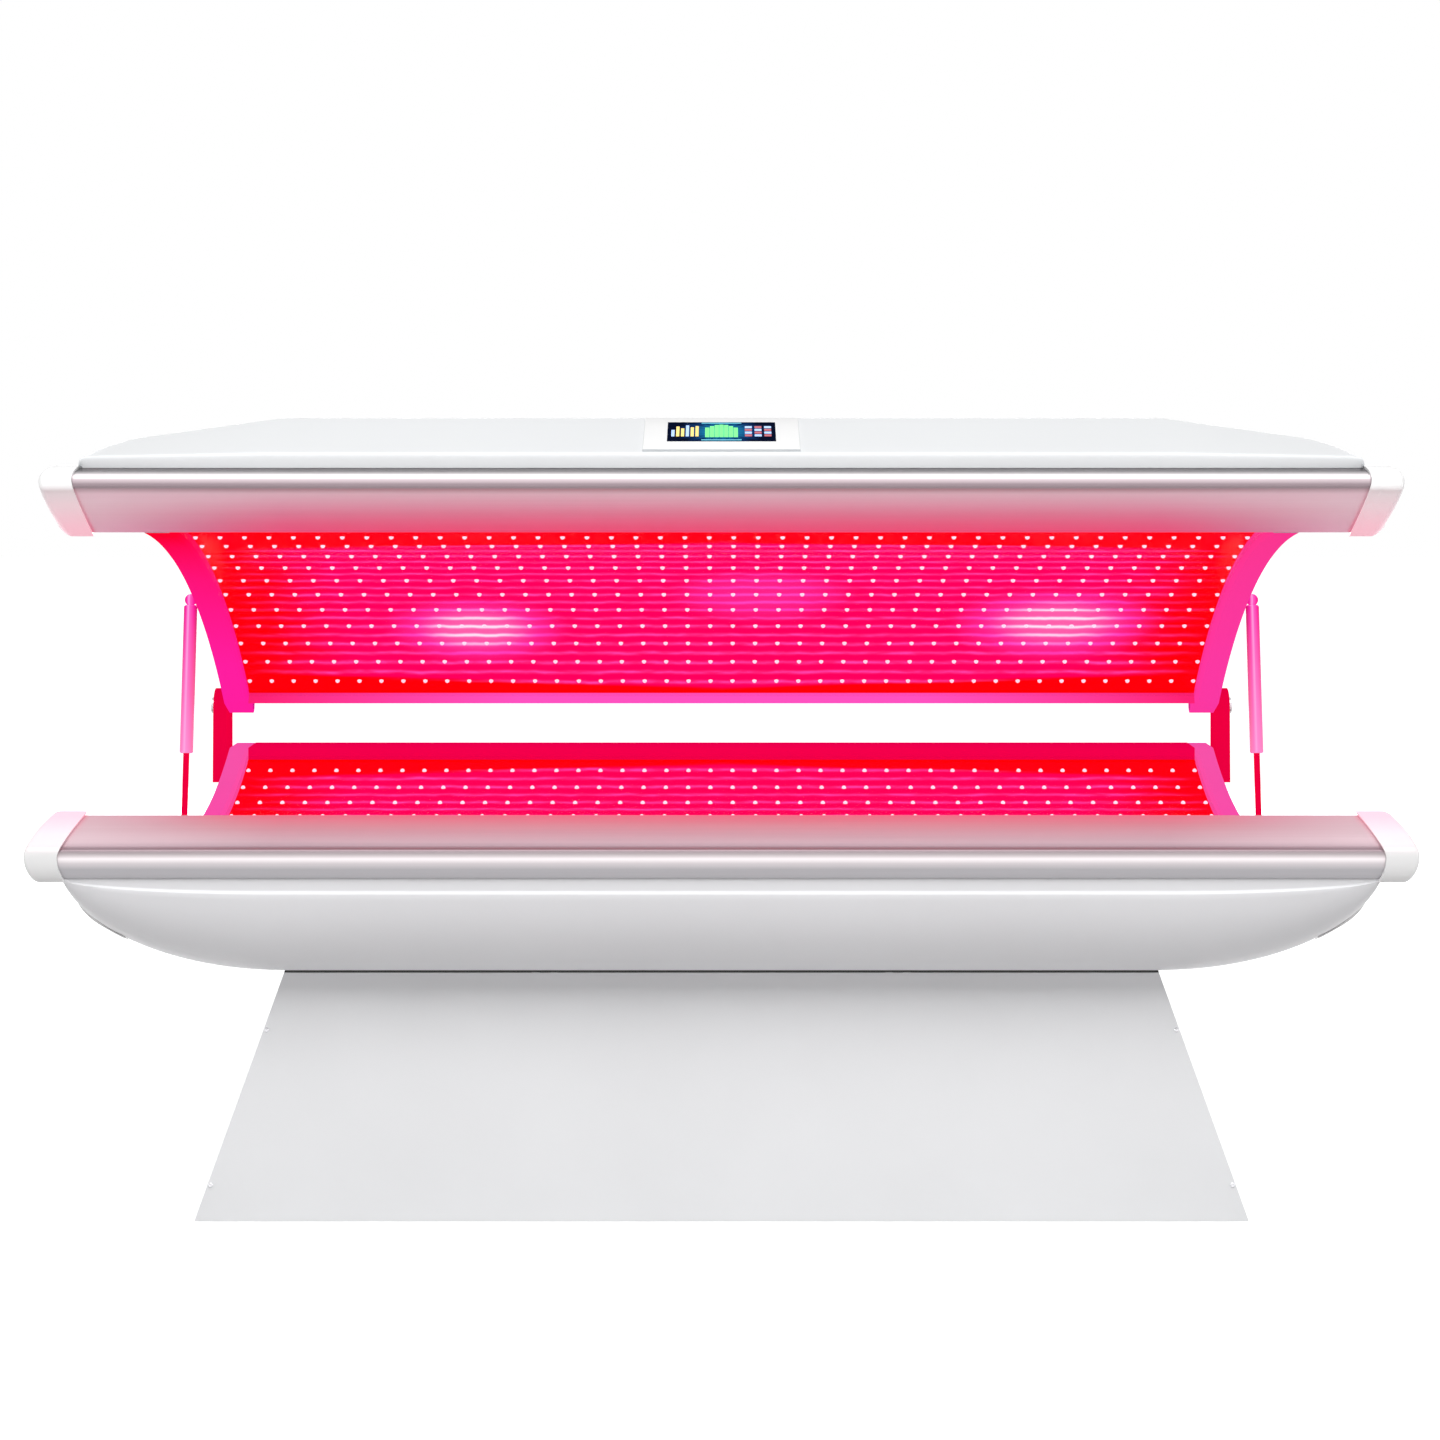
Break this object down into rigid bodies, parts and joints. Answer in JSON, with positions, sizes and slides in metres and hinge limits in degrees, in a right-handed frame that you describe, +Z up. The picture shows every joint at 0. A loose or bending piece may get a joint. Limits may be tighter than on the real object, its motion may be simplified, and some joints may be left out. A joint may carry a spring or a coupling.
{
  "type": "led light therapy bed",
  "caption": "Clamshell light therapy bed: a boat-shaped bed on a flared pedestal, with a domed canopy hinged at the rear and held open by gas struts over curved lamp fields.",
  "frame": {"origin": "on the floor under the middle of the bed's footprint", "axes": "+X along the bed to the viewer's right, +Y from the front rail to the rear hinges, +Z up"},
  "size_m": [2, 0.975, 1.1918],
  "materials": {
    "white_shell": "smooth satin white moulding",
    "white_cap": "smooth white moulding",
    "pedestal_panel": "pale grey powder coat",
    "silver_rail": "silver satin anodised extrusion",
    "lit_panel": "pale panel that takes the pink of the lamps",
    "clear_acrylic": "clear polished acrylic",
    "led_board": "lamp board, lit red",
    "tray_metal": "plain mill sheet",
    "hinge_metal": "pale paint that takes the pink of the lamps",
    "pin_steel": "bright steel",
    "strut_metal": "smooth painted tube",
    "black_plastic": "black moulding",
    "foot_rubber": "black rubber",
    "screen_glass": "dark touch screen"
  },
  "bodies": {
    "bed": {"base_floor_pan": "tray_metal", "base_front_panel": "pedestal_panel", "base_rear_panel": "pedestal_panel", "base_side_panel_left": "pedestal_panel", "base_side_panel_right": "pedestal_panel", "bed_acrylic_sheet": "clear_acrylic", "bed_end_cover_left": "white_cap", "bed_end_cover_right": "white_cap", "bed_end_panel_left": "lit_panel", "bed_end_panel_right": "lit_panel", "bed_front_rail": "silver_rail", "bed_hull": "white_shell", "bed_led_board_1": "led_board", "bed_led_board_2": "led_board", "bed_led_board_3": "led_board", "bed_led_tray": "tray_metal", "bed_rail_cap_left": "white_cap", "bed_rail_cap_right": "white_cap", "bed_rear_rail": "lit_panel", "fan_frame_left": "black_plastic", "fan_frame_right": "black_plastic", "hinge_bracket_left": "hinge_metal", "hinge_bracket_right": "hinge_metal", "hinge_pin_left": "pin_steel", "hinge_pin_right": "pin_steel", "levelling_foot_front_left": "foot_rubber", "levelling_foot_front_right": "foot_rubber", "levelling_foot_rear_left": "foot_rubber", "levelling_foot_rear_right": "foot_rubber", "mains_inlet": "black_plastic", "power_supply_left": "tray_metal", "power_supply_right": "tray_metal", "strut_lower_stud_left": "pin_steel", "strut_lower_stud_right": "pin_steel"},
    "canopy": {"canopy_acrylic_sheet": "clear_acrylic", "canopy_end_panel_left": "lit_panel", "canopy_end_panel_right": "lit_panel", "canopy_front_rail": "silver_rail", "canopy_led_board_1": "led_board", "canopy_led_board_2": "led_board", "canopy_led_board_3": "led_board", "canopy_led_tray": "tray_metal", "canopy_rail_cap_left": "white_cap", "canopy_rail_cap_right": "white_cap", "canopy_rear_rail": "lit_panel", "canopy_shell": "white_shell", "control_panel_housing": "white_cap", "control_screen": "screen_glass", "strut_upper_stud_left": "pin_steel", "strut_upper_stud_right": "pin_steel"},
    "strut_cylinder_left": {"strut_cylinder_left": "strut_metal"},
    "strut_cylinder_right": {"strut_cylinder_right": "strut_metal"},
    "strut_rod_left": {"strut_rod_left": "pin_steel"},
    "strut_rod_right": {"strut_rod_right": "pin_steel"},
    "fan_rotor_left": {"fan_rotor_left": "black_plastic"},
    "fan_rotor_right": {"fan_rotor_right": "black_plastic"},
    "mains_rocker": {"mains_rocker": "black_plastic"}
  },
  "joints": [
    {"name": "canopy_hinge", "type": "hinge", "parent": "bed", "child": "canopy", "pos_m": [0, 0.4475, 0.69], "axis": [1, 0, 0], "range_deg": [0, 25]},
    {"name": "strut_swing_left", "type": "hinge", "parent": "canopy", "child": "strut_cylinder_left", "pos_m": [-0.88, 0.19824, 0.88899], "axis": [1, 0, 0], "range_deg": [-17.5, 0]},
    {"name": "strut_swing_right", "type": "hinge", "parent": "canopy", "child": "strut_cylinder_right", "pos_m": [0.88, 0.19824, 0.88899], "axis": [1, 0, 0], "range_deg": [-17.5, 0]},
    {"name": "strut_stroke_left", "type": "slide", "parent": "strut_cylinder_left", "child": "strut_rod_left", "axis": [0, 0.1688, 0.9857], "range_m": [0, 0.13]},
    {"name": "strut_stroke_right", "type": "slide", "parent": "strut_cylinder_right", "child": "strut_rod_right", "axis": [0, 0.1688, 0.9857], "range_m": [0, 0.13]},
    {"name": "fan_spin_left", "type": "hinge", "parent": "bed", "child": "fan_rotor_left", "pos_m": [-0.3, 0.3145, 0.2], "axis": [0, 1, 0], "continuous": true},
    {"name": "fan_spin_right", "type": "hinge", "parent": "bed", "child": "fan_rotor_right", "pos_m": [0.3, 0.3145, 0.2], "axis": [0, 1, 0], "continuous": true},
    {"name": "mains_rocker_tilt", "type": "hinge", "parent": "bed", "child": "mains_rocker", "pos_m": [0.5, 0.3378, 0.102], "axis": [1, 0, 0], "range_deg": [0, 16]}
  ],
  "couplings": [
    {"joint": "strut_swing_left", "follows": "canopy_hinge", "ratio": -0.69676},
    {"joint": "strut_swing_right", "follows": "canopy_hinge", "ratio": -0.69676},
    {"joint": "strut_stroke_left", "follows": "canopy_hinge", "m_per_rad": 0.29766},
    {"joint": "strut_stroke_right", "follows": "canopy_hinge", "m_per_rad": 0.29766}
  ]
}
